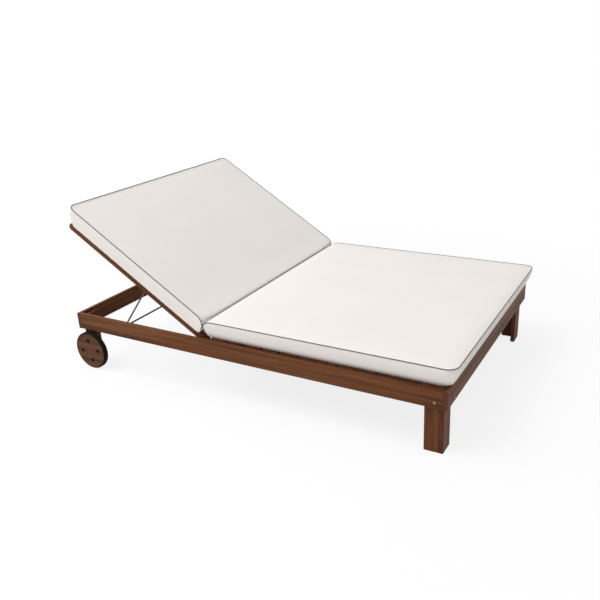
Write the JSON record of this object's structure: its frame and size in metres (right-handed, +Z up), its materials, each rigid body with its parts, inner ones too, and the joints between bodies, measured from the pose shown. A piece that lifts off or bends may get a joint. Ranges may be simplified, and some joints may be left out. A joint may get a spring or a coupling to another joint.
{
  "type": "double chaise lounger",
  "caption": "Double-width sun lounger: slatted hardwood frame on legs and wooden wheels, reclining back held by a steel stay in notched cleats, and thick piped seat and back pads.",
  "frame": {"origin": "on the floor, midway along the lounger's length and across its width, with the back raised as in the picture", "axes": "+X towards the foot end, +Y to the left-hand side of someone lying on it, +Z up"},
  "size_m": [2.067, 1.308, 0.8781],
  "materials": {
    "frame_wood": "satin",
    "slat_wood": "satin",
    "wheel_wood": "matte",
    "tyre_rubber": "matte",
    "zinc_steel": "satin",
    "stay_steel": "satin",
    "pad_canvas": "matte"
  },
  "bodies": {
    "base": {"side_rail_right": "frame_wood", "side_rail_left": "frame_wood", "head_rail": "frame_wood", "foot_rail": "frame_wood", "hinge_rail": "frame_wood", "centre_bearer": "frame_wood", "foot_leg_side_right": "frame_wood", "foot_leg_end_right": "frame_wood", "wheel_leg_side_right": "frame_wood", "wheel_leg_end_right": "frame_wood", "seat_ledger_right": "frame_wood", "cleat_right": "frame_wood", "foot_leg_side_left": "frame_wood", "foot_leg_end_left": "frame_wood", "wheel_leg_side_left": "frame_wood", "wheel_leg_end_left": "frame_wood", "seat_ledger_left": "frame_wood", "cleat_left": "frame_wood", "seat_slat_01": "slat_wood", "seat_slat_02": "slat_wood", "seat_slat_03": "slat_wood", "seat_slat_04": "slat_wood", "seat_slat_05": "slat_wood", "seat_slat_06": "slat_wood", "seat_slat_07": "slat_wood", "seat_slat_08": "slat_wood", "seat_slat_09": "slat_wood", "seat_slat_10": "slat_wood", "seat_slat_11": "slat_wood", "seat_slat_12": "slat_wood", "leg_bolts": "zinc_steel", "hinge_pins": "zinc_steel", "hinge_washers": "zinc_steel", "axle_bolts": "zinc_steel", "axle_washers": "zinc_steel", "seat_cushion": "pad_canvas"},
    "back": {"back_stile_right": "frame_wood", "back_stile_left": "frame_wood", "back_centre_stile": "frame_wood", "back_slat_01": "slat_wood", "back_slat_02": "slat_wood", "back_slat_03": "slat_wood", "back_slat_04": "slat_wood", "back_slat_05": "slat_wood", "back_slat_06": "slat_wood", "back_slat_07": "slat_wood", "back_slat_08": "slat_wood", "back_slat_09": "slat_wood", "back_cushion": "pad_canvas"},
    "stay": {"stay_crossbar": "stay_steel", "stay_arm_right": "stay_steel", "stay_arm_left": "stay_steel"},
    "wheel_right_body": {"wheel_right": "wheel_wood", "tyre_right": "tyre_rubber", "hub_cap_right": "wheel_wood"},
    "wheel_left_body": {"wheel_left": "wheel_wood", "tyre_left": "tyre_rubber", "hub_cap_left": "wheel_wood"}
  },
  "joints": [
    {"name": "back_recline", "type": "hinge", "parent": "base", "child": "back", "pos_m": [-0.1865, 0, 0.2825], "axis": [0, 1, 0], "range_deg": [-29.4, 0]},
    {"name": "stay_fold", "type": "hinge", "parent": "back", "child": "stay", "pos_m": [-0.53335, 0, 0.49924], "axis": [0, 1, 0], "range_deg": [-0.5, 80.5]},
    {"name": "wheel_right_spin", "type": "hinge", "parent": "base", "child": "wheel_right_body", "pos_m": [-0.9325, 0, 0.101], "axis": [0, 1, 0], "continuous": true},
    {"name": "wheel_left_spin", "type": "hinge", "parent": "base", "child": "wheel_left_body", "pos_m": [-0.9325, 0, 0.101], "axis": [0, 1, 0], "continuous": true}
  ],
  "couplings": [
    {"joint": "stay_fold", "follows": "back_recline", "ratio": -2.72}
  ]
}
